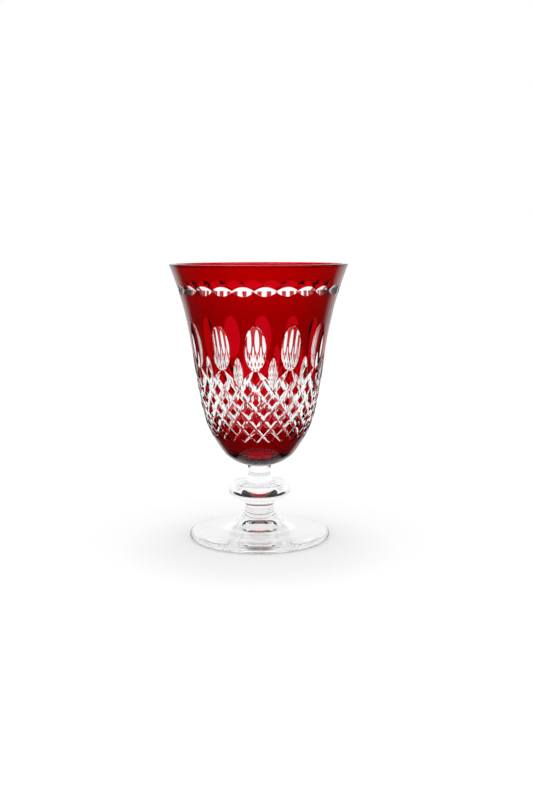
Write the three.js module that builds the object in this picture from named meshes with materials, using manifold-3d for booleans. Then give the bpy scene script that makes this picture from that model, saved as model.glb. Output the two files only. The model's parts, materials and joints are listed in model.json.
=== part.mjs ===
// Footed water glass in cased crystal: a clear bowl under a thin ruby casing that is cut
// through to the clear glass, on a clear stem with a disc knop and a round foot.
// Millimetres, +Z up. The foot stands on z = 0 and the axis of the glass is the Z axis.
import * as THREE from 'three';
import { mergeVertices } from 'three/addons/utils/BufferGeometryUtils.js';
import Module from 'manifold-3d';

const wasm = await Module();
wasm.setup();

// Foot, stem and knop.
const FOOT_R = 36;
const FOOT_EDGE = 3.2;
const FOOT_H = 11.4;
const FOOT_HOLLOW = 2.6;
const FOOT_SWEEP = 2.5;
const GROUND_RING_W = 5;
const KICK_R = 11;
const KICK_H = 7;
const KICK_ROUND = 1.7;
const LOWER_STEM_H = 9.2;
const LOWER_STEM_R = 7.3;
const LOWER_FLARE_R = 8.6;
const KNOP_R = 15.9;
const KNOP_H = 8;
const KNOP_EDGE = 2.6;
const KNOP_WIDEST = 3.2;
const KNOP_DISH = 0.3;
const KNOP_RISE = 0.35;
const KNOP_SEAT_R = 11.6;
const KNOP_SEAT_H = 4.2;
const NECK_H = 9;
const NECK_R = 5.7;
const NECK_FLARE_R = 7.6;
const NECK_TOP_R = 6.4;

// Bowl: outside, wall and casing.
const RIM_R = 45;
const BOWL_H = 102.2;
const RIM_WALL = 2.6;
const WALL = 3.4;
const FLOOR = 7;
const CASING = 0.4;
const SEAT = 0.1;
const TOE_GAP = 0.3;
const LIP = 0.6;

// Outline of the bowl above its joint: share of the bowl's height, share of the rim's radius.
const OUTLINE = [
  [0.011, 0.222],
  [0.022, 0.279],
  [0.042, 0.347],
  [0.063, 0.398],
  [0.104, 0.464],
  [0.145, 0.520],
  [0.206, 0.587],
  [0.287, 0.642],
  [0.378, 0.680],
  [0.479, 0.718],
  [0.578, 0.753],
  [0.677, 0.789],
  [0.775, 0.836],
  [0.844, 0.880],
  [0.922, 0.936],
  [1.000, 1.000],
];

// Border of lens cuts under the rim, end to end all round.
const LENS_COUNT = 24;
const LENS_DROP = 11.7;
const LENS_H = 5.8;
const LENS_DEPTH = 1.2;

// Tall oval hollows, and one pointed leaf between each two.
const OVAL_COUNT = 12;
const OVAL_SHARE = 0.607;
const OVAL_W = 11;
const OVAL_H = 21.4;
const OVAL_DEPTH = 1.45;
const LEAF_W = 5.5;
const LEAF_H = 17;
const LEAF_RISE = 5.5;
const LEAF_DEPTH = 1.3;

// Crossing mitre cuts, wide V grooves. They start at the ovals and run down the bowl, a little
// less steep at each row, and a row is the drop from one crossing to the next.
const MITRE_ANGLE = THREE.MathUtils.degToRad(34);
const MITRE_EASE = THREE.MathUtils.degToRad(1);
const MITRE_W = 4.2;
const MITRE_BITE = 0.7;
const MITRE_ENTRY = 0.1;
const FINE_COVER = 0.1;
const MITRE_LAP = 2.6;
const FULL_FROM = 1;
const DEEP_TO = 2;
const FINE_FROM = 4;
const FADE_FROM = 5;
const MITRE_END = 8;

const SEGMENTS = 4 * OVAL_COUNT;
const STEM_SEGMENTS = 20;
const FOOT_SEGMENTS = 30;
const WHEEL_SEGMENTS = 16;
const OVAL_SEGMENTS = 12;

const ruby = { color: 0x9c0814, roughness: 0.04, metalness: 0, transparent: true, opacity: 0.85 };
const clear = { color: 0xf1f4f5, roughness: 0.03, metalness: 0, transparent: true, opacity: 0.4 };

// Heights of the joints between the pieces, from the table up.
const lowerStemZ = FOOT_H;
const knopZ = lowerStemZ + LOWER_STEM_H;
const neckZ = knopZ + KNOP_H;
const bowlZ = neckZ + NECK_H;
const rimZ = bowlZ + BOWL_H;

function v2(r, z) {
  return new THREE.Vector2(r, z);
}

// A closed geometry as a solid that can be cut and joined.
function solid(geometry) {
  const bare = geometry.clone();
  bare.deleteAttribute('normal');
  bare.deleteAttribute('uv');
  const merged = mergeVertices(bare, 1e-5);
  const faces = [];
  const index = merged.index.array;
  for (let i = 0; i < index.length; i += 3) {
    const [a, b, c] = index.subarray(i, i + 3);
    if (a !== b && b !== c && c !== a) faces.push(a, b, c);
  }
  return new wasm.Manifold(
    new wasm.Mesh({
      numProp: 3,
      vertProperties: merged.attributes.position.array,
      triVerts: Uint32Array.from(faces),
    }),
  );
}

// A profile of radius and height, turned about the Z axis.
function turn(profile, segments = SEGMENTS) {
  return new THREE.LatheGeometry(profile, segments).rotateX(Math.PI / 2);
}

function revolve(profile, segments) {
  return solid(turn(profile, segments));
}

const glass = new THREE.Group();
glass.name = 'footed_water_glass';

function addPiece(name, body, look) {
  const { vertProperties, triVerts } = body.getMesh();
  const geometry = new THREE.BufferGeometry();
  geometry.setAttribute('position', new THREE.BufferAttribute(vertProperties, 3));
  geometry.setIndex(new THREE.BufferAttribute(triVerts, 1));
  geometry.computeVertexNormals();
  const mesh = new THREE.Mesh(geometry, new THREE.MeshStandardMaterial(look));
  mesh.name = name;
  glass.add(mesh);
}

// The bowl's outside as a smooth curve from the joint to the rim.
const outline = new THREE.SplineCurve([
  v2(NECK_TOP_R + TOE_GAP, bowlZ),
  ...OUTLINE.map(([h, r]) => v2(r * RIM_R, bowlZ + h * BOWL_H)),
]);

// Where along the outline a height lies.
function outlineAt(z) {
  let low = 0;
  let high = 1;
  for (let i = 0; i < 40; i++) {
    const mid = (low + high) / 2;
    if (outline.getPoint(mid).y < z) low = mid;
    else high = mid;
  }
  return (low + high) / 2;
}

// A point of the outline, moved in along its normal.
function inside(u, depth) {
  const p = outline.getPoint(u);
  const t = outline.getTangent(u);
  return v2(p.x - t.y * depth, p.y + t.x * depth);
}

const step = (2 * Math.PI) / OVAL_COUNT;
const rowStep = step / 4;
const ovalZ = bowlZ + OVAL_SHARE * BOWL_H;
const mitreZ = ovalZ - OVAL_H / 2 + MITRE_LAP;
const lensZ = rimZ - LENS_DROP;

// Height of a row of crossings. The first lies at the foot of each oval.
function rowZ(row) {
  const parts = 40;
  let z = mitreZ;
  for (let i = 0; i < parts; i++) {
    const u = outlineAt(z);
    const run = (outline.getPoint(u).x * rowStep * row) / parts;
    const angle = MITRE_ANGLE + (MITRE_EASE * row * (i + 0.5)) / parts;
    z -= (run / Math.tan(angle)) * outline.getTangent(u).y;
  }
  return z;
}

// Rings of the bowl and its casing: close together under the base, at each row of crossings,
// and then evenly up to the lens border and the lip.
const lastRow = Math.ceil(MITRE_END);
const rowHeights = [];
for (let row = lastRow; row > 0; row--) rowHeights.push(rowZ(row));
const baseU = outlineAt(rowHeights[0]);
const baseRings = [0, 0.2, 0.45, 0.72].map((part) => part * baseU);
const lowRings = [...baseRings, ...rowHeights.map(outlineAt)];
const flareRings = [mitreZ, (mitreZ + lensZ) / 2, lensZ, rimZ - LIP].map(outlineAt);
const rings = [...lowRings, ...flareRings];
const lipU = outlineAt(rimZ - LIP);
// Casing and clear bowl meet on every second ring of the round base, and on each of the flare.
const seatRings = [...lowRings.filter((u, i) => i % 2 === 0), ...flareRings];

// Clear bowl: the outside seats in the casing, and the inside runs down to a round floor.
function bowlProfile() {
  const seat = CASING + SEAT;
  const outer = seatRings.map((u) => inside(u, seat));
  const wallAt = (u) => {
    const down = (rimZ - outline.getPoint(u).y) / BOWL_H;
    return THREE.MathUtils.lerp(RIM_WALL, WALL, Math.min(1, 2 * down));
  };
  const floorZ = bowlZ + FLOOR;
  const walls = seatRings
    .slice(0, -1)
    .map((u) => inside(u, wallAt(u)))
    .filter((p) => p.y > floorZ + 1.5)
    .reverse();
  const lipInner = v2(outline.getPoint(lipU).x - RIM_WALL, rimZ - LIP);
  const last = walls[walls.length - 1];
  const bottom = new THREE.QuadraticBezierCurve(last, v2(0.62 * last.x, floorZ), v2(0, floorZ));
  return [
    v2(0, bowlZ),
    v2(NECK_TOP_R, bowlZ),
    ...outer,
    v2(inside(1, seat).x, rimZ),
    v2(lipInner.x + LIP, rimZ),
    lipInner,
    ...walls,
    ...bottom.getPoints(3).slice(1),
  ];
}
addPiece('bowl_core', revolve(bowlProfile()), clear);

// Uncut ruby casing, the same thickness all over, with its lip rounded off at the rim.
function casingProfile() {
  const outer = rings.map((u) => inside(u, 0));
  const inner = seatRings.map((u) => inside(u, CASING)).reverse();
  const lip = [v2(RIM_R - CASING / 2, rimZ), v2(inside(1, CASING).x, rimZ)];
  return [...outer, ...lip, ...inner, outer[0].clone()];
}

// Frame on the bowl's outside: x runs round the bowl, y up the wall and z straight out.
function wallFrame(angle, z) {
  const u = outlineAt(z);
  const p = outline.getPoint(u);
  const t = outline.getTangent(u);
  const out = new THREE.Vector3(Math.sin(angle), -Math.cos(angle), 0);
  const round = new THREE.Vector3(Math.cos(angle), Math.sin(angle), 0);
  const up = out.clone().multiplyScalar(t.x).setZ(t.y);
  const normal = out.clone().multiplyScalar(t.y).setZ(-t.x);
  const origin = out.clone().multiplyScalar(p.x).setZ(p.y);
  return new THREE.Matrix4().makeBasis(round, up, normal).setPosition(origin);
}

// Cutting wheel with a pointed edge, turned about Y. Its radius is measured on the flats.
function wheel(radius, depth, halfWidth) {
  const rise = 3 * depth;
  const side = (rise * halfWidth) / depth;
  const toCorner = 1 / Math.cos(Math.PI / WHEEL_SEGMENTS);
  const edge = radius * toCorner;
  const shoulder = (radius - rise) * toCorner;
  const profile = [v2(0, -side), v2(shoulder, -side), v2(edge, 0), v2(shoulder, side), v2(0, side)];
  return new THREE.LatheGeometry(profile, WHEEL_SEGMENTS, Math.PI / WHEEL_SEGMENTS);
}

function sunk(geometry, lift, angle, z) {
  return solid(geometry.translate(0, 0, lift).applyMatrix4(wallFrame(angle, z)));
}

const cuts = [];

// Lens border: each cut is as long as its share of the way round, so the points meet.
const lensR = outline.getPoint(outlineAt(lensZ)).x;
const lensReach = (Math.PI * lensR) / LENS_COUNT;
const lensSag = LENS_DEPTH - (lensReach * lensReach) / (2 * lensR);
const lensWheelR = (lensReach * lensReach + lensSag * lensSag) / (2 * lensSag);
for (let i = 0; i < LENS_COUNT; i++) {
  const lens = wheel(lensWheelR, LENS_DEPTH, LENS_H / 2);
  cuts.push(sunk(lens, lensWheelR - LENS_DEPTH, ((i + 0.5) * 2 * Math.PI) / LENS_COUNT, lensZ));
}

// Ovals: a long round hollow whose edge on the wall has the stated width and height.
const ovalR = outline.getPoint(outlineAt(ovalZ)).x;
const ovalFall = ovalR - Math.sqrt(ovalR * ovalR - (OVAL_W * OVAL_W) / 4);
const ovalBulge = 5 * OVAL_DEPTH;
const across = OVAL_W / 2 / Math.sqrt(1 - ((ovalBulge - OVAL_DEPTH + ovalFall) / ovalBulge) ** 2);
const along = OVAL_H / 2 / Math.sqrt(1 - ((ovalBulge - OVAL_DEPTH) / ovalBulge) ** 2);
for (let i = 0; i < OVAL_COUNT; i++) {
  const ball = new THREE.SphereGeometry(1, OVAL_SEGMENTS, 8).rotateX(Math.PI / 2);
  const oval = ball.scale(across, along, ovalBulge);
  cuts.push(sunk(oval, ovalBulge - OVAL_DEPTH, i * step, ovalZ));
}

// Leaves, one between each two ovals, running out into the mitres.
const leafZ = mitreZ + LEAF_RISE - LEAF_H / 2;
const leafWheelR = ((LEAF_H * LEAF_H) / 4 + LEAF_DEPTH * LEAF_DEPTH) / (2 * LEAF_DEPTH);
for (let i = 0; i < OVAL_COUNT; i++) {
  const leaf = wheel(leafWheelR, LEAF_DEPTH, LEAF_W / 2).rotateZ(Math.PI / 2);
  cuts.push(sunk(leaf, leafWheelR - LEAF_DEPTH, (i + 0.5) * step, leafZ));
}

// Depth of a whole mitre at a row: through the casing between the upper rows, and then shallow
// enough to leave some ruby under it.
function mitreDepth(row) {
  const down = THREE.MathUtils.clamp((row - DEEP_TO) / (FINE_FROM - DEEP_TO), 0, 1);
  return THREE.MathUtils.lerp(CASING + MITRE_BITE, CASING - FINE_COVER, down);
}

// Share of the whole mitre that is cut at a row: just through the casing at the ovals, and out
// to a point at the end.
function mitreShare(row) {
  const entry = (CASING + MITRE_ENTRY) / mitreDepth(0);
  if (row < FULL_FROM) return THREE.MathUtils.lerp(entry, 1, row / FULL_FROM);
  return Math.min(1, (MITRE_END - row) / (MITRE_END - FADE_FROM));
}

// One mitre: a V section carried along its line on the wall, from its first row to its end.
function mitre(angle, turn, start) {
  const above = 0.15;
  const stops = [];
  for (let row = start; row < MITRE_END; row++) stops.push(row);
  stops.push(MITRE_END);
  const line = stops.map((row) => ({ row, frame: wallFrame(angle + turn * row * rowStep, rowZ(row)) }));
  const count = line.length - 1;
  const points = [];
  const faces = [];
  const place = line.map(({ frame }) => new THREE.Vector3().setFromMatrixPosition(frame));
  line.forEach(({ row, frame }, i) => {
    const depth = mitreDepth(row) * mitreShare(row);
    const reach = ((depth + above) * MITRE_W) / 2 / mitreDepth(row);
    const normal = new THREE.Vector3().setFromMatrixColumn(frame, 2);
    const ahead = place[Math.min(i + 1, count)].clone().sub(place[Math.max(i - 1, 0)]);
    const side = ahead.cross(normal).normalize().multiplyScalar(reach);
    const top = place[i].clone().addScaledVector(normal, above);
    points.push(place[i].clone().addScaledVector(normal, -depth));
    points.push(top.clone().add(side), top.clone().sub(side));
  });
  for (let i = 0; i < count; i++) {
    for (let j = 0; j < 3; j++) {
      const a = 3 * i + j;
      const b = 3 * i + ((j + 1) % 3);
      faces.push(a, a + 3, b, b, a + 3, b + 3);
    }
  }
  faces.push(0, 1, 2, 3 * count, 3 * count + 2, 3 * count + 1);
  const geometry = new THREE.BufferGeometry().setFromPoints(points);
  geometry.setIndex(faces);
  return solid(geometry);
}
for (let i = 0; i < OVAL_COUNT; i++) {
  for (const turn of [-1, 1]) {
    cuts.push(mitre(i * step, turn, 0));
    cuts.push(mitre((i + 0.5) * step, turn, 1));
  }
}

// The casing's facets are split along the mitres and not across them.
function uncutCasing() {
  const profile = casingProfile();
  const shell = turn(profile);
  const points = profile.length;
  for (let column = 0; column < SEGMENTS; column++) {
    for (let row = lastRow; row > 0; row--) {
      if ((column + row) % 2 === 1) continue;
      const ring = baseRings.length + lastRow - row;
      const a = ring + column * points;
      const b = a + points;
      const first = 6 * (ring + column * (points - 1));
      [a, b, b + 1, a, b + 1, a + 1].forEach((v, n) => shell.index.setX(first + n, v));
    }
  }
  return solid(shell);
}

// The cuts part the casing into an upper band, a base cup and free diamonds between them.
const casing = cuts.reduce((rest, cut) => rest.subtract(cut), uncutCasing());
const islands = casing.decompose().map((body) => {
  const { min, max } = body.boundingBox();
  const angle = Math.atan2(min[0] + max[0], -(min[1] + max[1]));
  return { body, low: min[2], high: max[2], angle: angle < -rowStep / 2 ? angle + 2 * Math.PI : angle };
});
islands.sort((a, b) => b.high - a.high);
addPiece('ruby_band', islands.shift().body, ruby);
islands.sort((a, b) => a.low - b.low);
addPiece('ruby_base_cup', islands.shift().body, ruby);
islands.sort((a, b) => a.angle - b.angle);
const upperZ = rowZ(1.5);
const rows = { upper: 0, lower: 0 };
for (const { body, low, high } of islands) {
  const row = (low + high) / 2 > upperZ ? 'upper' : 'lower';
  rows[row] += 1;
  addPiece(`ruby_diamond_${row}_${String(rows[row]).padStart(2, '0')}`, body, ruby);
}

// A stem piece: a side from its lower end to its upper end, closed flat on the axis at both.
function stemPiece(name, side) {
  const low = v2(0, side[0].y);
  const high = v2(0, side[side.length - 1].y);
  addPiece(name, revolve([low, ...side, high], STEM_SEGMENTS), clear);
}

// Neck: waisted, flared on the knop below and cupped under the bowl above.
const neckCurve = new THREE.SplineCurve([
  v2(NECK_FLARE_R, neckZ),
  v2((NECK_R + NECK_FLARE_R) / 2, neckZ + 0.2 * NECK_H),
  v2(NECK_R, neckZ + 0.5 * NECK_H),
  v2(NECK_R, neckZ + 0.75 * NECK_H),
  v2(NECK_TOP_R, bowlZ),
]);
stemPiece('neck', neckCurve.getPoints(7));

// Knop: a thick disc with a round edge, widest below its middle, that goes on from the flare of
// the lower stem and rises a little to the neck.
function knopSide() {
  const widest = knopZ + KNOP_WIDEST;
  const under = KNOP_WIDEST - KNOP_RISE;
  const over = neckZ - KNOP_DISH - widest;
  const edge = [];
  for (let i = 0; i <= 8; i++) {
    const a = -Math.PI / 2 + (Math.PI * i) / 8;
    const reach = KNOP_R - KNOP_EDGE + KNOP_EDGE * Math.cos(a);
    edge.push(v2(reach, widest + (a < 0 ? under : over) * Math.sin(a)));
  }
  return [v2(KNOP_SEAT_R, knopZ), ...edge, v2(NECK_FLARE_R, neckZ)];
}
stemPiece('knop', knopSide());

// Lower stem: nearly straight, flaring into the foot below and under the knop above.
const seatZ = knopZ - KNOP_SEAT_H;
const stemThird = (seatZ - lowerStemZ) / 3;
const stemCurve = new THREE.CubicBezierCurve(
  v2(LOWER_FLARE_R, lowerStemZ),
  v2(LOWER_STEM_R, lowerStemZ + stemThird),
  v2(LOWER_STEM_R, seatZ - stemThird),
  v2(LOWER_STEM_R, seatZ),
);
const seatCurve = new THREE.CubicBezierCurve(
  v2(LOWER_STEM_R, seatZ),
  v2(LOWER_STEM_R, seatZ + 0.24 * KNOP_SEAT_H),
  v2(THREE.MathUtils.lerp(LOWER_STEM_R, KNOP_SEAT_R, 0.49), seatZ + 0.73 * KNOP_SEAT_H),
  v2(KNOP_SEAT_R, knopZ),
);
stemPiece('lower_stem', [...stemCurve.getPoints(3), ...seatCurve.getPoints(4).slice(1)]);

// Foot: a round edge and a top that rises to the stem. The hollow inside its ground ring follows
// the top up to a kick, the domed middle.
function footProfile() {
  const half = FOOT_EDGE / 2;
  const edge = [];
  for (let i = 0; i <= 4; i++) {
    const a = -Math.PI / 2 + (Math.PI * i) / 4;
    edge.push(v2(FOOT_R - half + half * Math.cos(a), half + half * Math.sin(a)));
  }
  const slope = (lowerStemZ - FOOT_EDGE) / 4;
  const rise = new THREE.CubicBezierCurve(
    v2(FOOT_R - half, FOOT_EDGE),
    v2((FOOT_R + LOWER_FLARE_R) / 2, FOOT_EDGE + slope),
    v2(LOWER_FLARE_R + FOOT_SWEEP, FOOT_EDGE + slope),
    v2(LOWER_FLARE_R, lowerStemZ),
  );
  const kick = [];
  for (let i = 0; i <= 4; i++) {
    const share = i / 4;
    const height = (KICK_H - FOOT_HOLLOW) * (1 - share ** KICK_ROUND);
    kick.push(v2(share * KICK_R, FOOT_HOLLOW + height));
  }
  const ringR = FOOT_R - half - GROUND_RING_W;
  return [
    ...kick,
    v2(ringR, 0),
    ...edge,
    ...rise.getPoints(5).slice(1),
    v2(0, lowerStemZ),
  ];
}
addPiece('foot', revolve(footProfile(), FOOT_SEGMENTS), clear);

export default glass;
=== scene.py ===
"""Footed water glass in cased crystal, for a still on a pale studio floor.

The bowl is clear glass under a thin ruby casing. A border of lens cuts, tall ovals, leaves and
a lattice of mitre cuts go through the casing into the clear glass. Neck, knop, lower stem and
foot are turned from clear glass. Meshes are in metres; the sizes below are in millimetres.
"""
import json
import math
from functools import lru_cache

import bmesh
import bpy
import numpy as np
from mathutils import Matrix, Quaternion, Vector

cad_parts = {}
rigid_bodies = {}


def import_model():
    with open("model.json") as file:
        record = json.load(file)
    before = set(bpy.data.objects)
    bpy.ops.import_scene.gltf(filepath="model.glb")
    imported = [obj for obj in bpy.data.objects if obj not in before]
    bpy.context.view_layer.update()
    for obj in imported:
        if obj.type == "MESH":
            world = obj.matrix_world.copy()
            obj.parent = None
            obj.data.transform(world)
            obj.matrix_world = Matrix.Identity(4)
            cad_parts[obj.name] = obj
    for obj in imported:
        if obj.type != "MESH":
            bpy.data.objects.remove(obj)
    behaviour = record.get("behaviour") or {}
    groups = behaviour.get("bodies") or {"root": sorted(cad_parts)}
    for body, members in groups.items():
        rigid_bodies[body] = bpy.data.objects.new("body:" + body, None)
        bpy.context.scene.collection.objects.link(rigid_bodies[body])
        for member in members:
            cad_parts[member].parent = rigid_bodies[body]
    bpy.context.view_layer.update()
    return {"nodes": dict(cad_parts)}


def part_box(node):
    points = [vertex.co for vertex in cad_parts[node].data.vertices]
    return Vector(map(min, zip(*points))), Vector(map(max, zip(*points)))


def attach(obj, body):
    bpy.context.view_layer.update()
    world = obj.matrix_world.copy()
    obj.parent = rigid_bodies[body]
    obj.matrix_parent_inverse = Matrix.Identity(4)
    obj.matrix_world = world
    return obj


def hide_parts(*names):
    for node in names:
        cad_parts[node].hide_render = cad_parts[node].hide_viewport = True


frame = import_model()

MM = 0.001

# Bowl: outside, wall and casing. The wall has its full thickness a share of the height below the rim.
RIM_R = 45.0
RIM_WALL = 2.6
WALL = 3.4
WALL_FULL = 0.5
CASING = 0.15
BOND = 0.02
LIP = 0.6
TOE_GAP = 0.3
NECK_TOP_R = 6.4

# Inside, the wall ends a little above the floor and bends into it at a share of its radius.
FLOOR = 7.0
FLOOR_ROUND = 1.5
FLOOR_BEND = 0.62

# Outline of the bowl above its joint: share of the bowl's height, share of the rim's radius.
OUTLINE = [
    (0.011, 0.222),
    (0.022, 0.279),
    (0.042, 0.347),
    (0.063, 0.398),
    (0.104, 0.464),
    (0.145, 0.520),
    (0.206, 0.587),
    (0.287, 0.642),
    (0.378, 0.680),
    (0.479, 0.718),
    (0.578, 0.753),
    (0.677, 0.789),
    (0.775, 0.836),
    (0.844, 0.880),
    (0.922, 0.936),
    (1.000, 1.000),
]

# Lens cuts in a border under the rim.
LENS_COUNT = 24
LENS_DROP = 12.4
LENS_H = 5.4
LENS_DEPTH = 1.26
LENS_LAP = 0.7

# Ovals, centred at a share of the bowl's height. Their round cutter bulges this many times the depth.
OVAL_COUNT = 12
OVAL_SHARE = 0.607
OVAL_W = 11.0
OVAL_H = 22.4
OVAL_DEPTH = 1.45
OVAL_BULGE = 5.0

# Leaves between the ovals; the wheel's edge is rounder the smaller its power.
LEAF_W = 5.5
LEAF_H = 17.0
LEAF_RISE = 5.5
LEAF_DEPTH = 1.3
LEAF_ROUND = 0.72

# A wheel's edge is modelled up to this many times the depth of its cut.
WHEEL_RISE = 3.0

# Mitres: their lean at the first row, its growth from row to row, and half the opening of the V.
# They lap over the ovals' feet and pass this many rows of crossings from one oval to the next.
# Their cutter stands a little way out of the wall.
MITRE_ANGLE = math.radians(34)
MITRE_EASE = math.radians(1)
MITRE_OPEN = math.radians(62)
MITRE_LAP = 2.5
MITRE_ABOVE = 0.2
ROWS_PER_OVAL = 4

# Depth of a mitre at rows of crossings, from the ovals' feet down to its point.
MITRE_DEPTHS = [
    (0.2, 0.18),
    (0.6, 0.6),
    (1.0, 1.0),
    (3.0, 1.12),
    (5.0, 1.15),
    (6.5, 0.6),
    (8.0, 0.32),
    (8.15, 0.0),
]

# The mitres that start between the ovals do so at this row.
MITRE_BETWEEN = 1

# Foot: a rounded edge, a rise to the stem, a ground ring and a hollow with a domed kick.
FOOT_EDGE = 3.2
FOOT_HOLLOW = 2.6
FOOT_SWEEP = 2.5
FOOT_SLOPE = 0.25
GROUND_RING_W = 5.0
KICK_R = 11.0
KICK_H = 7.0
KICK_ROUND = 1.7

# Lower stem. Its flare under the knop bends at shares of the flare's width and height.
LOWER_STEM_R = 7.3
LOWER_FLARE_R = 8.6
KNOP_SEAT_R = 11.6
KNOP_SEAT_H = 4.2
SEAT_EASE = 0.24
SEAT_BEND_W = 0.49
SEAT_BEND_H = 0.73

# Knop: width of its rounded edge, height of its widest place, dish round the neck, rise off its seat.
KNOP_EDGE = 2.6
KNOP_WIDEST = 3.2
KNOP_DISH = 0.3
KNOP_RISE = 0.35

# Neck. It flares below and is straight between two shares of its height.
NECK_R = 5.7
NECK_FLARE_R = 7.6
NECK_FLARE_MIDDLE = 0.2
NECK_FROM = 0.5
NECK_TO = 0.75

# Fineness of the meshes.
BOWL_SEGMENTS = 240
STEM_SEGMENTS = 160
WHEEL_SEGMENTS = 96
WHEEL_EDGE_STEPS = 12
OVAL_RINGS = 48
MITRE_STEPS = 4
ROW_STEPS = 40
OUTLINE_SAMPLES = 6001
OUTER_STEPS = 120
INNER_STEPS = 90
FLOOR_STEPS = 18
LIP_STEPS = 6
NECK_STEPS = 40
KNOP_STEPS = 60
DISH_STEPS = 12
LOWER_STEM_STEPS = 30
FOOT_EDGE_STEPS = 20
FOOT_RISE_STEPS = 50
KICK_STEPS = 24
SHARP_ANGLE = math.radians(24)
ON_AXIS = 1e-6

# A free area of casing is a diamond of the frame if it is this near to one and no taller than this.
DIAMOND_NEAR = 1.5
DIAMOND_TALL = 12.0

# Glass. A wave is the width and depth of its unevenness, a haze its roughest polish.
GLASS_IOR = 1.53
CLEAR_TINT = (1.0, 1.0, 1.0)
CLEAR_SHEEN = (0.5, 0.5, 0.5)
RUBY_SHEEN = (0.05, 0.02, 0.1)
BLOWN_WAVE = (22, 0.015)
CUT_WAVE = (2.5, 0.002)
TURNED_WAVE = (16, 0.01)
CLEAR_HAZE = 0.02
CUT_HAZE = 0.04
RUBY_HAZE = 0.03
HAZE_FROM = 0.45
HAZE_TO = 0.8
HAZE_DETAIL = 4.0

# Ruby by share of the bowl's height, deepest at the base and palest at the rim. Clouds of this width
# move the tint up and down by as much as the drift.
RUBY_TINTS = [
    (0.00, (0.32, 0.006, 0.020)),
    (0.12, (0.36, 0.008, 0.026)),
    (0.27, (0.52, 0.006, 0.030)),
    (0.50, (0.62, 0.006, 0.026)),
    (0.75, (0.58, 0.006, 0.026)),
    (1.00, (0.90, 0.010, 0.034)),
]
RUBY_CLOUD = 18.0
RUBY_DRIFT = 8.0

# Tint of the layer seen straight on, how fast it deepens with slant, and where that is worked out.
RUBY_LAYER = (0.74, 0.025, 0.06)
RUBY_SLANT = 4.4
SLANT_STOPS = (0.0, 0.1, 0.2, 0.3, 0.5)

# Studio floor of paper with a painted shadow: its greys near and far from a place in front of the foot
# (darker near it as painted shade, paler far off as painted light), and how much plain white the camera
# and the glass see.
PAPER_HALF = 6000.0
PAPER_DROP = 0.02
PAINTED_SHADOW_NEAR = 42.0
PAINTED_SHADOW_FAR = 70.0
PAINTED_SHADOW_GREY = (0.82, 0.82, 0.82)
PAINTED_LIGHT_GREY = (0.9, 0.9, 0.9)
PAPER_GLOW = 0.25
PAPER_IN_GLASS = 0.8
PAINTED_SHADOW_FRONT = 20.0

# What the outside of the glass mirrors: a dark floor, but white behind the glass. The edge of the
# white is given as the sine of its bearing, counted from straight aside.
PAPER_IN_GLOSS = 0.06
BACK_EDGE = 0.64
BACK_FADE = 0.1

# Even light from all sides.
LIGHT = 1.22

# The ceiling has a dark ring round a lit middle; its edges are sines of elevation.
RING_LOW = 0.45
RING_FADE = 0.06
RING_HIGH = 0.93
RING_SHADE = 0.02

# Camera, from the photograph's perspective.
CAMERA_AZIMUTH = math.radians(3)
CAMERA_DISTANCE = 532.9
CAMERA_Z = 150.0
CAMERA_PITCH = math.radians(8.46)
CAMERA_ASIDE = 3.75
CAMERA_ROLL = math.radians(-0.17)
CAMERA_LENS = 47.5
CAMERA_SENSOR = 36.0
CAMERA_CLIP = 10.0

# Heights of the joints and radii, from the frame.
foot_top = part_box("foot")[1][2] / MM
knop_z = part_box("knop")[0][2] / MM
neck_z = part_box("neck")[0][2] / MM
bowl_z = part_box("bowl_core")[0][2] / MM
rim_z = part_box("bowl_core")[1][2] / MM
foot_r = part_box("foot")[1][1] / MM
knop_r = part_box("knop")[1][0] / MM
bowl_h = rim_z - bowl_z

# Places of the cuts.
oval_turn = 2 * math.pi / OVAL_COUNT
row_turn = oval_turn / ROWS_PER_OVAL
lens_turn = 2 * math.pi / LENS_COUNT
oval_z = bowl_z + OVAL_SHARE * bowl_h
mitre_z = oval_z - OVAL_H / 2 + MITRE_LAP
lens_z = rim_z - LENS_DROP


# Shader nodes.
def material(name):
    mat = bpy.data.materials.new(name)
    mat.use_nodes = True
    tree = mat.node_tree
    tree.nodes.clear()
    out = tree.nodes.new("ShaderNodeOutputMaterial")
    return mat, tree, out


def noise(tree, where, size, detail=2.0):
    """Noise whose lumps are about as wide as size, in millimetres."""
    lumps = tree.nodes.new("ShaderNodeTexNoise")
    lumps.inputs["Scale"].default_value = 1 / (size * MM)
    lumps.inputs["Detail"].default_value = detail
    tree.links.new(where, lumps.inputs["Vector"])
    return lumps.outputs["Fac"]


def ramp(tree, value, stops):
    """Colour at a value, from a ramp with the given positions and colours."""
    blend = tree.nodes.new("ShaderNodeValToRGB")
    ends = blend.color_ramp.elements
    ends.remove(ends[1])
    for k, (at, colour) in enumerate(stops):
        end = ends[0] if k == 0 else ends.new(at)
        end.position = at
        end.color = (*colour, 1)
    tree.links.new(value, blend.inputs["Fac"])
    return blend.outputs["Color"]


def maths(tree, operation, *values):
    """Result of a Math node; each value is a number or another node's output."""
    node = tree.nodes.new("ShaderNodeMath")
    node.operation = operation
    for value, socket in zip(values, node.inputs):
        if isinstance(value, bpy.types.NodeSocket):
            tree.links.new(value, socket)
        else:
            socket.default_value = value
    return node.outputs["Value"]


def span(tree, value, low, high, to_low=0.0, to_high=1.0):
    """Moves a value from one range to another and keeps it there."""
    node = tree.nodes.new("ShaderNodeMapRange")
    limits = {"From Min": low, "From Max": high, "To Min": to_low, "To Max": to_high}
    for name, limit in limits.items():
        node.inputs[name].default_value = limit
    tree.links.new(value, node.inputs["Value"])
    return node.outputs["Result"]


def axis_of(tree, vector, axis):
    axes = tree.nodes.new("ShaderNodeSeparateXYZ")
    tree.links.new(vector, axes.inputs["Vector"])
    return axes.outputs[axis]


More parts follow.
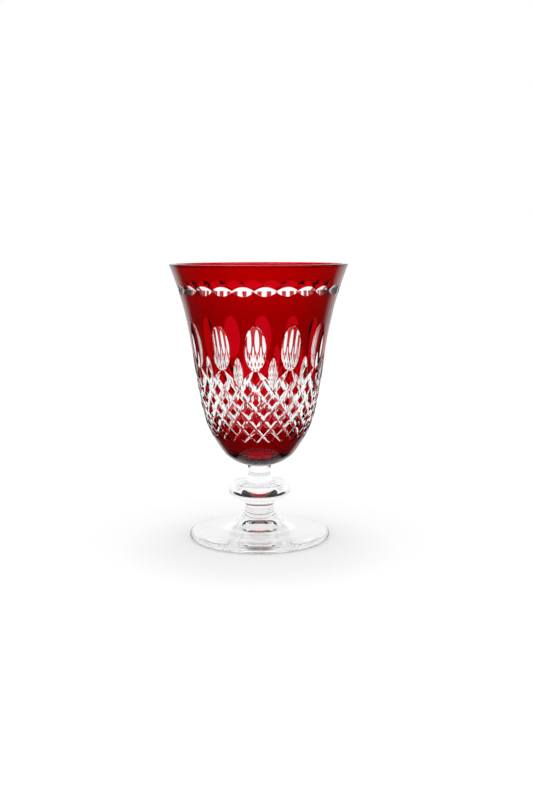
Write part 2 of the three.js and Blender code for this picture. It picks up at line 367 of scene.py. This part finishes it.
def mix_shaders(tree, share, first, second, out):
    mix = tree.nodes.new("ShaderNodeMixShader")
    tree.links.new(share, mix.inputs["Fac"])
    tree.links.new(first, mix.inputs[1])
    tree.links.new(second, mix.inputs[2])
    tree.links.new(mix.outputs["Shader"], out.inputs["Surface"])


# Materials.
def crystal(name, tint, sheen, wave, haze):
    """Polished glass: wave is the width and depth of its unevenness, haze its roughest polish."""
    mat, tree, out = material(name)
    glass = tree.nodes.new("ShaderNodeBsdfPrincipled")
    glass.inputs["Base Color"].default_value = (*tint, 1)
    glass.inputs["IOR"].default_value = GLASS_IOR
    glass.inputs["Transmission Weight"].default_value = 1.0
    glass.inputs["Specular Tint"].default_value = (*sheen, 1)
    where = tree.nodes.new("ShaderNodeTexCoord").outputs["Object"]
    size, depth = wave
    bump = tree.nodes.new("ShaderNodeBump")
    bump.inputs["Strength"].default_value = 1.0
    bump.inputs["Distance"].default_value = depth * MM
    tree.links.new(noise(tree, where, size), bump.inputs["Height"])
    tree.links.new(bump.outputs["Normal"], glass.inputs["Normal"])
    smears = noise(tree, where, size / 2, HAZE_DETAIL)
    tree.links.new(span(tree, smears, HAZE_FROM, HAZE_TO, 0.0, haze), glass.inputs["Roughness"])
    tree.links.new(glass.outputs["BSDF"], out.inputs["Surface"])
    return mat


def colour_by_height(mat, stops, cloud, drift):
    """Tints a glass by height from the table; clouds of noise move the tint by up to the drift."""
    tree = mat.node_tree
    glass = next(n for n in tree.nodes if n.type == "BSDF_PRINCIPLED")
    where = next(n for n in tree.nodes if n.type == "TEX_COORD").outputs["Object"]
    height = axis_of(tree, where, "Z")
    moved = maths(tree, "MULTIPLY_ADD", noise(tree, where, cloud), drift * MM, height)
    share = span(tree, moved, bowl_z * MM, rim_z * MM)
    tree.links.new(ramp(tree, share, stops), glass.inputs["Base Color"])


def weld(name, tint, slant=0):
    """Faces where two pieces of glass are one: light goes straight on, with the layer's tint.

    The tint deepens with slant, because a slanting ray has a longer way through the layer.
    """
    mat, tree, out = material(name)
    clear = tree.nodes.new("ShaderNodeBsdfTransparent")
    clear.inputs["Color"].default_value = (*tint, 1)
    if slant:
        lean = tree.nodes.new("ShaderNodeLayerWeight")
        lean.inputs["Blend"].default_value = 0.5
        ways = [(f, 1 + slant * f / (1 - f)) for f in SLANT_STOPS]
        tints = [(f, tuple(c**way for c in tint)) for f, way in ways]
        tree.links.new(ramp(tree, lean.outputs["Facing"], tints), clear.inputs["Color"])
    tree.links.new(clear.outputs["BSDF"], out.inputs["Surface"])
    return mat


CLEAR = crystal("clear_crystal", CLEAR_TINT, CLEAR_SHEEN, BLOWN_WAVE, CLEAR_HAZE)
CUT = crystal("cut_crystal", CLEAR_TINT, CLEAR_SHEEN, CUT_WAVE, CUT_HAZE)
STEM = crystal("stem_crystal", CLEAR_TINT, CLEAR_SHEEN, TURNED_WAVE, CLEAR_HAZE)
RUBY = crystal("ruby_crystal", RUBY_TINTS[-1][1], RUBY_SHEEN, BLOWN_WAVE, RUBY_HAZE)
colour_by_height(RUBY, RUBY_TINTS, RUBY_CLOUD, RUBY_DRIFT)
WELD = weld("clear_weld", CLEAR_TINT)
RUBY_WELD = weld("ruby_weld", RUBY_LAYER, RUBY_SLANT)


# Curves.
def v2(r, z):
    return np.array((r, z), float)


def spline(points, t):
    """Point of a smooth curve through the points, as t runs from 0 to 1."""
    last = len(points) - 1
    at = min(max(t, 0.0), 1.0) * last
    i = min(int(at), last - 1)
    w = at - i
    a, b, c, d = (points[k] for k in (max(i - 1, 0), i, i + 1, min(i + 2, last)))
    into, out = (c - a) / 2, (d - b) / 2
    return (2 * b - 2 * c + into + out) * w**3 + (3 * c - 3 * b - 2 * into - out) * w**2 + into * w + b


def through(points, count):
    return [spline(points, k / count) for k in range(count + 1)]


def bezier(a, b, c, d, count):
    ts = [k / count for k in range(count + 1)]
    return [(1 - t) ** 3 * a + 3 * t * (1 - t) ** 2 * b + 3 * t**2 * (1 - t) * c + t**3 * d for t in ts]


def half_turn(count):
    """Angles from straight down, by way of straight out, to straight up."""
    return [-math.pi / 2 + math.pi * k / count for k in range(count + 1)]


# The bowl's outside.
OUTSIDE = [v2(NECK_TOP_R + TOE_GAP, bowl_z)]
OUTSIDE += [v2(r * RIM_R, bowl_z + h * bowl_h) for h, r in OUTLINE]


def outline(u):
    return spline(OUTSIDE, u)


def tangent(u):
    nudge = 1e-4
    run = outline(min(u + nudge, 1)) - outline(max(u - nudge, 0))
    return run / np.linalg.norm(run)


WAY = np.linspace(0, 1, OUTLINE_SAMPLES)
WAY_Z = np.array([outline(u)[1] for u in WAY])


def outline_at(z):
    """Where along the outline a height lies."""
    return float(np.interp(z, WAY_Z, WAY))


def inside(u, depth):
    """A point of the outline, moved in along its normal."""
    t = tangent(u)
    return outline(u) + depth * v2(-t[1], t[0])


# Meshes.
def lathe(profile, segments, closed=False):
    """Points and faces of a profile turned about Z, and the stretch of the profile each face is on.

    A point on the axis stays single.
    """
    points, rows = [], []
    for r, z in profile:
        if abs(r) < ON_AXIS:
            rows.append([len(points)] * segments)
            points.append((0.0, 0.0, z))
            continue
        rows.append(list(range(len(points), len(points) + segments)))
        for k in range(segments):
            a = 2 * math.pi * k / segments
            points.append((r * math.sin(a), -r * math.cos(a), z))
    faces, strip = [], []
    count = len(rows) if closed else len(rows) - 1
    for i in range(count):
        low, high = rows[i], rows[(i + 1) % len(rows)]
        for k in range(segments):
            n = (k + 1) % segments
            ring = [low[k], low[n], high[n], high[k]]
            ring = [v for j, v in enumerate(ring) if v != ring[j - 1]]
            if len(ring) > 2:
                faces.append(ring)
                strip.append(i)
    return points, faces, strip


def build(name, points, faces, materials, looks, place=None):
    """A closed mesh object, facing out; looks gives each face its material."""
    mesh = bpy.data.meshes.new(name)
    where = place or Matrix()
    mesh.from_pydata([where @ Vector(p) * MM for p in points], [], faces)
    for mat in materials:
        mesh.materials.append(mat)
    mesh.polygons.foreach_set("material_index", looks)
    work = bmesh.new()
    work.from_mesh(mesh)
    bmesh.ops.recalc_face_normals(work, faces=work.faces)
    work.to_mesh(mesh)
    work.free()
    thing = bpy.data.objects.new(name, mesh)
    bpy.context.scene.collection.objects.link(thing)
    return thing


def finish_piece(thing, slot, *nodes):
    thing.data.shade_smooth()
    thing.data.set_sharp_from_angle(angle=SHARP_ANGLE)
    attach(thing, "root")
    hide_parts(*nodes)


# Cutters.
cutters = bpy.data.collections.new("cutters")
bpy.context.scene.collection.children.link(cutters)


def add_cutter(points, faces, place=None):
    """Adds a cutter to the pattern. A cut face shows CUT, or the second look of a piece without CUT."""
    cutter = build("cutter", points, faces, [WELD, CUT], [1] * len(faces), place)
    bpy.context.scene.collection.objects.unlink(cutter)
    cutters.objects.link(cutter)


def wall_frame(angle, z):
    """Frame on the bowl's outside: x round the bowl, y up the wall and z straight out."""
    u = outline_at(z)
    p, t = outline(u), tangent(u)
    out = Vector((math.sin(angle), -math.cos(angle), 0))
    around = Vector((math.cos(angle), math.sin(angle), 0))
    up = out * t[0] + Vector((0, 0, t[1]))
    normal = out * t[1] - Vector((0, 0, t[0]))
    place = Matrix((around, up, normal)).transposed().to_4x4()
    place.translation = out * p[0] + Vector((0, 0, p[1]))
    return place


def lifted_frame(angle, z, lift):
    """The same frame, moved straight out."""
    return wall_frame(angle, z) @ Matrix.Translation((0, 0, lift))


def wheel(radius, depth, half_width, power=1.0):
    """Cutting wheel about Y; power 1 gives a straight V edge, less gives a rounder one."""
    rise = WHEEL_RISE * depth
    steps = 1 if power == 1 else WHEEL_EDGE_STEPS
    edge = []
    for k in range(steps + 1):
        deep = rise * (k / steps) ** 2
        edge.append((radius - deep, half_width * (deep / depth) ** power))
    side = edge[-1][1]
    profile = [(0, -side)] + [(r, -h) for r, h in reversed(edge[1:])]
    profile += edge + [(0, side)]
    points, faces, _ = lathe(profile, WHEEL_SEGMENTS)
    return [(x, z, -y) for x, y, z in points], faces


def cut_lenses():
    lens_r = outline(outline_at(lens_z))[0]
    reach = math.pi * lens_r / LENS_COUNT + LENS_LAP
    sag = LENS_DEPTH - reach**2 / (2 * lens_r)
    radius = (reach**2 + sag**2) / (2 * sag)
    points, faces = wheel(radius, LENS_DEPTH, LENS_H / 2)
    for i in range(LENS_COUNT):
        add_cutter(points, faces, lifted_frame((i + 0.5) * lens_turn, lens_z, radius - LENS_DEPTH))


def cut_ovals():
    oval_r = outline(outline_at(oval_z))[0]
    fall = oval_r - math.sqrt(oval_r**2 - OVAL_W**2 / 4)
    bulge = OVAL_BULGE * OVAL_DEPTH
    across = OVAL_W / 2 / math.sqrt(1 - ((bulge - OVAL_DEPTH + fall) / bulge) ** 2)
    along = OVAL_H / 2 / math.sqrt(1 - ((bulge - OVAL_DEPTH) / bulge) ** 2)
    turns = [math.pi * k / OVAL_RINGS for k in range(OVAL_RINGS + 1)]
    points, faces, _ = lathe([(math.sin(a), -math.cos(a)) for a in turns], 2 * OVAL_RINGS)
    points = [(x * across, y * along, z * bulge) for x, y, z in points]
    for i in range(OVAL_COUNT):
        add_cutter(points, faces, lifted_frame(i * oval_turn, oval_z, bulge - OVAL_DEPTH))


def cut_leaves():
    leaf_z = mitre_z + LEAF_RISE - LEAF_H / 2
    radius = (LEAF_H**2 / 4 + LEAF_DEPTH**2) / (2 * LEAF_DEPTH)
    points, faces = wheel(radius, LEAF_DEPTH, LEAF_W / 2, LEAF_ROUND)
    points = [(-y, x, z) for x, y, z in points]
    for i in range(OVAL_COUNT):
        add_cutter(points, faces, lifted_frame((i + 0.5) * oval_turn, leaf_z, radius - LEAF_DEPTH))


@lru_cache(maxsize=None)
def row_z(row):
    """Height of a row of crossings; row 0 lies just above the feet of the ovals."""
    z = mitre_z
    for part in range(ROW_STEPS):
        u = outline_at(z)
        run = outline(u)[0] * row_turn * row / ROW_STEPS
        angle = MITRE_ANGLE + MITRE_EASE * row * (part + 0.5) / ROW_STEPS
        z -= run / math.tan(angle) * tangent(u)[1]
    return z


def mitre_depth(row):
    """Just through the casing at the ovals, deep down the lattice, and then out to a point."""
    rows, depths = zip(*MITRE_DEPTHS)
    return float(np.interp(row, rows, depths))


def cut_mitre(angle, turn, start):
    """One V cut that winds down the bowl; turn is its direction."""
    end = MITRE_DEPTHS[-1][0]
    count = round((end - start) * MITRE_STEPS)
    rows = [start + k / MITRE_STEPS for k in range(count + 1)]
    frames = [wall_frame(angle + turn * row * row_turn, row_z(row)) for row in rows]
    points, faces = [], []
    for i, (row, place) in enumerate(zip(rows, frames)):
        depth = mitre_depth(row)
        normal = place.col[2].to_3d()
        ahead = frames[min(i + 1, count)].translation - frames[max(i - 1, 0)].translation
        side = ahead.cross(normal).normalized() * (depth + MITRE_ABOVE) * math.tan(MITRE_OPEN)
        top = place.translation + normal * MITRE_ABOVE
        points += [place.translation - normal * depth, top + side, top - side]
    for i in range(count):
        for j in range(3):
            a, b = 3 * i + j, 3 * i + (j + 1) % 3
            faces.append((a, a + 3, b + 3, b))
    faces += [(0, 1, 2), (3 * count, 3 * count + 2, 3 * count + 1)]
    add_cutter(points, faces)


def cut_lattice():
    for i in range(OVAL_COUNT):
        for turn in (-1, 1):
            cut_mitre(i * oval_turn, turn, MITRE_DEPTHS[0][0])
            cut_mitre((i + 0.5) * oval_turn, turn, MITRE_BETWEEN)


def carve(thing):
    """Cuts the whole pattern into a piece of the bowl."""
    cuts = thing.modifiers.new("cuts", "BOOLEAN")
    cuts.solver = "MANIFOLD"
    cuts.operation = "DIFFERENCE"
    cuts.operand_type = "COLLECTION"
    cuts.collection = cutters
    done = thing.evaluated_get(bpy.context.evaluated_depsgraph_get())
    mesh = bpy.data.meshes.new_from_object(done)
    thing.modifiers.clear()
    old, thing.data = thing.data, mesh
    bpy.data.meshes.remove(old)


def drop_cutters():
    for cutter in list(cutters.objects):
        bpy.data.objects.remove(cutter)
    bpy.data.collections.remove(cutters)


# Pieces of the bowl.
def heights(count):
    """Even steps along the outline, from the joint to just under the lip."""
    lip = outline_at(rim_z - LIP)
    return [lip * k / count for k in range(count + 1)]


def wall_at(u):
    down = (rim_z - outline(u)[1]) / bowl_h
    return RIM_WALL + (WALL - RIM_WALL) * min(1.0, down / WALL_FULL)


def core_profile():
    """Profile of the clear bowl, with a look for each stretch: 0 is a weld and 1 clear glass."""
    seat = CASING + BOND
    joint = [v2(0, bowl_z), v2(NECK_TOP_R, bowl_z)]
    outer = [inside(u, seat) for u in heights(OUTER_STEPS)]
    lip_inner = v2(outline(outline_at(rim_z - LIP))[0] - RIM_WALL, rim_z - LIP)
    lip = [v2(inside(1, seat)[0], rim_z), lip_inner + v2(LIP, LIP)]
    for k in range(1, LIP_STEPS + 1):
        a = math.pi / 2 * k / LIP_STEPS
        lip.append(lip_inner + LIP * v2(1 - math.sin(a), math.cos(a)))
    floor_z = bowl_z + FLOOR
    walls = [inside(u, wall_at(u)) for u in heights(INNER_STEPS)[:-1]]
    walls = [p for p in walls if p[1] > floor_z + FLOOR_ROUND][::-1]
    last = walls[-1]
    bend = v2(FLOOR_BEND * last[0], floor_z)
    bottom = []
    for k in range(1, FLOOR_STEPS + 1):
        t = k / FLOOR_STEPS
        bottom.append((1 - t) ** 2 * last + 2 * t * (1 - t) * bend + t**2 * v2(0, floor_z))
    profile = joint + outer + lip + walls + bottom
    welded = len(joint) + len(outer) - 1
    return profile, [0] * welded + [1] * (len(profile) - 1 - welded)


def make_core():
    profile, looks = core_profile()
    points, faces, strip = lathe(profile, BOWL_SEGMENTS)
    core = build("bowl_core_cut", points, faces, [WELD, CLEAR, CUT], [looks[i] for i in strip])
    carve(core)
    finish_piece(core, "clear_crystal", "bowl_core")


def make_casing():
    """The ruby shell with the whole pattern cut through it, still one object."""
    outer = [outline(u) for u in heights(OUTER_STEPS)]
    inner = [inside(u, CASING) for u in heights(OUTER_STEPS)][::-1]
    lip = [v2(RIM_R - CASING / 2, rim_z), v2(inside(1, CASING)[0], rim_z)]
    profile = outer + lip + inner
    points, faces, strip = lathe(profile, BOWL_SEGMENTS, closed=True)
    seat_from, seat_to = len(outer) + len(lip), len(profile) - 1
    looks = [0 if seat_from <= i < seat_to else 1 for i in strip]
    casing = build("casing", points, faces, [RUBY_WELD, RUBY], looks)
    carve(casing)
    return casing


def middle(thing):
    points = np.array([v.co for v in thing.data.vertices])
    return (points.min(axis=0) + points.max(axis=0)) / 2


def split(thing):
    bpy.ops.object.select_all(action="DESELECT")
    thing.select_set(True)
    bpy.context.view_layer.objects.active = thing
    bpy.ops.mesh.separate(type="LOOSE")
    return list(bpy.context.selected_objects)


def join(things):
    bpy.ops.object.select_all(action="DESELECT")
    for thing in things:
        thing.select_set(True)
    bpy.context.view_layer.objects.active = things[0]
    bpy.ops.object.join()
    return things[0]


def make_ruby():
    """Parts the cut casing into the pieces that the frame has."""
    diamonds = [n for n in frame["nodes"] if n.startswith("ruby_diamond")]
    centres = {n: (np.array(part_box(n)[0]) + np.array(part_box(n)[1])) / 2 for n in diamonds}
    groups = {}
    for island in split(make_casing()):
        spot = middle(island)
        tall = np.ptp([v.co.z for v in island.data.vertices])
        near = min(centres, key=lambda n: np.linalg.norm(centres[n] - spot))
        if np.linalg.norm(centres[near] - spot) < DIAMOND_NEAR * MM and tall < DIAMOND_TALL * MM:
            node = near
        elif spot[2] > mitre_z * MM:
            node = "ruby_band"
        else:
            node = "ruby_base_cup"
        groups.setdefault(node, []).append(island)
    for node, things in groups.items():
        piece = join(things)
        piece.name = node.replace("ruby_", "ruby_cut_")
        finish_piece(piece, "ruby_crystal", node)
    missing = [n for n in frame["nodes"] if n.startswith("ruby_") and n not in groups]
    if missing:
        raise RuntimeError("no cut piece for " + ", ".join(missing))


# Stem and foot.
def turned(node, profile, welds):
    """A clear turned piece; welds names the stretches of its profile that meet other glass."""
    points, faces, strip = lathe(profile, STEM_SEGMENTS)
    count = len(profile) - 1
    flat = {w % count for w in welds}
    looks = [0 if i in flat else 1 for i in strip]
    piece = build(node + "_turned", points, faces, [WELD, STEM], looks)
    finish_piece(piece, "clear_crystal", node)


def turned_stem(node, side):
    """A turned piece that meets other glass below and above."""
    turned(node, [v2(0, side[0][1])] + side + [v2(0, side[-1][1])], (0, -1))


def make_neck():
    h = bowl_z - neck_z
    turned_stem("neck", through([
        v2(NECK_FLARE_R, neck_z + BOND),
        v2((NECK_R + NECK_FLARE_R) / 2, neck_z + NECK_FLARE_MIDDLE * h),
        v2(NECK_R, neck_z + NECK_FROM * h),
        v2(NECK_R, neck_z + NECK_TO * h),
        v2(NECK_TOP_R, bowl_z - BOND),
    ], NECK_STEPS))


def make_knop():
    widest = knop_z + KNOP_WIDEST
    under, over = KNOP_WIDEST - KNOP_RISE, neck_z - KNOP_DISH - widest
    edge = []
    for a in half_turn(KNOP_STEPS):
        reach = knop_r - KNOP_EDGE + KNOP_EDGE * math.cos(a)
        edge.append(v2(reach, widest + (under if a < 0 else over) * math.sin(a)))
    dish = bezier(
        edge[-1],
        v2(NECK_FLARE_R + 2 * KNOP_DISH, edge[-1][1]),
        v2(NECK_FLARE_R + KNOP_DISH, neck_z - KNOP_DISH),
        v2(NECK_FLARE_R, neck_z - BOND),
        DISH_STEPS,
    )
    turned_stem("knop", [v2(KNOP_SEAT_R, knop_z + BOND)] + edge + dish[1:])


def make_lower_stem():
    turn_z = knop_z - BOND - KNOP_SEAT_H
    third = (turn_z - foot_top) / 3
    side = bezier(
        v2(LOWER_FLARE_R, foot_top + BOND),
        v2(LOWER_STEM_R, foot_top + third),
        v2(LOWER_STEM_R, turn_z - third),
        v2(LOWER_STEM_R, turn_z),
        LOWER_STEM_STEPS,
    )
    flare = KNOP_SEAT_R - LOWER_STEM_R
    seat = bezier(
        side[-1],
        v2(LOWER_STEM_R, turn_z + SEAT_EASE * KNOP_SEAT_H),
        v2(LOWER_STEM_R + SEAT_BEND_W * flare, turn_z + SEAT_BEND_H * KNOP_SEAT_H),
        v2(KNOP_SEAT_R, turn_z + KNOP_SEAT_H),
        LOWER_STEM_STEPS,
    )
    turned_stem("lower_stem", side + seat[1:])


def make_foot():
    half = FOOT_EDGE / 2
    edge = []
    for a in half_turn(FOOT_EDGE_STEPS):
        edge.append(v2(foot_r - half + half * math.cos(a), half + half * math.sin(a)))
    slope_z = FOOT_EDGE + FOOT_SLOPE * (foot_top - FOOT_EDGE)
    rise = bezier(
        edge[-1],
        v2((foot_r + LOWER_FLARE_R) / 2, slope_z),
        v2(LOWER_FLARE_R + FOOT_SWEEP, slope_z),
        v2(LOWER_FLARE_R, foot_top - BOND),
        FOOT_RISE_STEPS,
    )
    hollow = []
    for k in range(KICK_STEPS + 1):
        share = k / KICK_STEPS
        dome = (KICK_H - FOOT_HOLLOW) * (1 - share**KICK_ROUND)
        hollow.append(v2(KICK_R * share, FOOT_HOLLOW + dome))
    hollow.append(v2(foot_r - half - GROUND_RING_W, 0))
    turned("foot", hollow + edge + rise[1:] + [v2(0, foot_top - BOND)], (-1,))


# Studio.
def floor_painted_shadow(tree, where):
    """Painted shadow on the paper: a little darker round the foot, most of all in front, paler far off.
    """
    far = tree.nodes.new("ShaderNodeVectorMath")
    far.operation = "DISTANCE"
    far.inputs[1].default_value = (0, -PAINTED_SHADOW_FRONT * MM, 0)
    tree.links.new(where, far.inputs[0])
    share = span(tree, far.outputs["Value"], PAINTED_SHADOW_NEAR * MM, PAINTED_SHADOW_FAR * MM)
    return ramp(tree, share, [(0, PAINTED_SHADOW_GREY), (1, PAINTED_LIGHT_GREY)])


def floor_shine(tree, where, mirrored):
    """Plain white, but for mirrored rays dark unless they fall behind the glass."""
    way = tree.nodes.new("ShaderNodeVectorMath")
    way.operation = "NORMALIZE"
    tree.links.new(where, way.inputs[0])
    back = axis_of(tree, way.outputs["Vector"], "Y")
    behind = span(tree, back, BACK_EDGE - BACK_FADE, BACK_EDGE + BACK_FADE, PAPER_IN_GLOSS, 1.0)
    shine = tree.nodes.new("ShaderNodeMix")
    shine.inputs["A"].default_value = 1.0
    tree.links.new(mirrored, shine.inputs["Factor"])
    tree.links.new(behind, shine.inputs["B"])
    return shine.outputs["Result"]


def floor_material():
    """White paper that takes the shadow, plus a painted shadow; some plain white is added for camera
    and glass.
    """
    mat, tree, out = material("pale_floor")
    where = tree.nodes.new("ShaderNodeTexCoord").outputs["Object"]
    rays = tree.nodes.new("ShaderNodeLightPath").outputs
    glossy, bent = rays["Is Glossy Ray"], rays["Is Transmission Ray"]
    mirrored = maths(tree, "GREATER_THAN", glossy, bent)
    glow = maths(tree, "MULTIPLY", rays["Is Camera Ray"], PAPER_GLOW)
    plain = maths(tree, "MULTIPLY_ADD", maths(tree, "MAXIMUM", glossy, bent), PAPER_IN_GLASS, glow)
    paper = tree.nodes.new("ShaderNodeBsdfDiffuse")
    # The paper's colour carries a painted shadow round the foot and painted light far from it.
    tree.links.new(floor_painted_shadow(tree, where), paper.inputs["Color"])
    white = tree.nodes.new("ShaderNodeEmission")
    tree.links.new(floor_shine(tree, where, mirrored), white.inputs["Strength"])
    share = maths(tree, "MAXIMUM", plain, mirrored)
    mix_shaders(tree, share, paper.outputs["BSDF"], white.outputs["Emission"], out)
    return mat


def make_floor():
    half = PAPER_HALF * MM
    corners = [(-half, -half, 0), (half, -half, 0), (half, half, 0), (-half, half, 0)]
    mesh = bpy.data.meshes.new("floor")
    mesh.from_pydata(corners, [], [(0, 1, 2, 3)])
    mesh.materials.append(floor_material())
    floor = bpy.data.objects.new("floor", mesh)
    floor.location.z = -PAPER_DROP * MM
    bpy.context.scene.collection.objects.link(floor)


def make_world():
    """Even light; the camera and the glass see a white room with a dark ring in its ceiling."""
    world = bpy.data.worlds.new("studio")
    bpy.context.scene.world = world
    world.use_nodes = True
    tree = world.node_tree
    tree.nodes.clear()
    out = tree.nodes.new("ShaderNodeOutputWorld")
    rays = tree.nodes.new("ShaderNodeLightPath").outputs
    where = tree.nodes.new("ShaderNodeTexCoord").outputs["Generated"]
    light = tree.nodes.new("ShaderNodeBackground")
    light.inputs["Color"].default_value = (1, 1, 1, 1)
    light.inputs["Strength"].default_value = LIGHT
    seen = tree.nodes.new("ShaderNodeBackground")
    lit, dark = (1, 1, 1), (RING_SHADE, RING_SHADE, RING_SHADE)
    edges = [RING_LOW, RING_LOW + RING_FADE, RING_HIGH - RING_FADE, RING_HIGH]
    ring = ramp(tree, axis_of(tree, where, "Z"), zip(edges, (lit, dark, dark, lit)))
    tree.links.new(ring, seen.inputs["Color"])
    shown = maths(tree, "MAXIMUM", rays["Is Camera Ray"], rays["Is Glossy Ray"])
    shown = maths(tree, "MAXIMUM", shown, rays["Is Transmission Ray"])
    mix_shaders(tree, shown, light.outputs["Background"], seen.outputs["Background"], out)


def make_camera():
    data = bpy.data.cameras.new("camera")
    data.lens = CAMERA_LENS
    data.sensor_width = CAMERA_SENSOR
    data.clip_start = CAMERA_CLIP * MM
    camera = bpy.data.objects.new("camera", data)
    bpy.context.scene.collection.objects.link(camera)
    out = Vector((math.sin(CAMERA_AZIMUTH), -math.cos(CAMERA_AZIMUTH), 0))
    side = Vector((math.cos(CAMERA_AZIMUTH), math.sin(CAMERA_AZIMUTH), 0))
    place = out * CAMERA_DISTANCE + Vector((0, 0, CAMERA_Z))
    aim = side * CAMERA_ASIDE + Vector((0, 0, CAMERA_Z - CAMERA_DISTANCE * math.tan(CAMERA_PITCH)))
    camera.location = place * MM
    level = (aim - place).to_track_quat("-Z", "Y")
    camera.rotation_euler = (level @ Quaternion((0, 0, 1), CAMERA_ROLL)).to_euler()
    bpy.context.scene.camera = camera


cut_lenses()
cut_ovals()
cut_leaves()
cut_lattice()
make_core()
make_ruby()
drop_cutters()
make_neck()
make_knop()
make_lower_stem()
make_foot()
make_floor()
make_world()
make_camera()

# Light passes many faces on its way through cut glass.
scene = bpy.context.scene
scene.view_settings.view_transform = "Standard"
scene.cycles.max_bounces = 40
scene.cycles.transmission_bounces = 32
scene.cycles.glossy_bounces = 24
scene.cycles.diffuse_bounces = 3
scene.cycles.transparent_max_bounces = 96
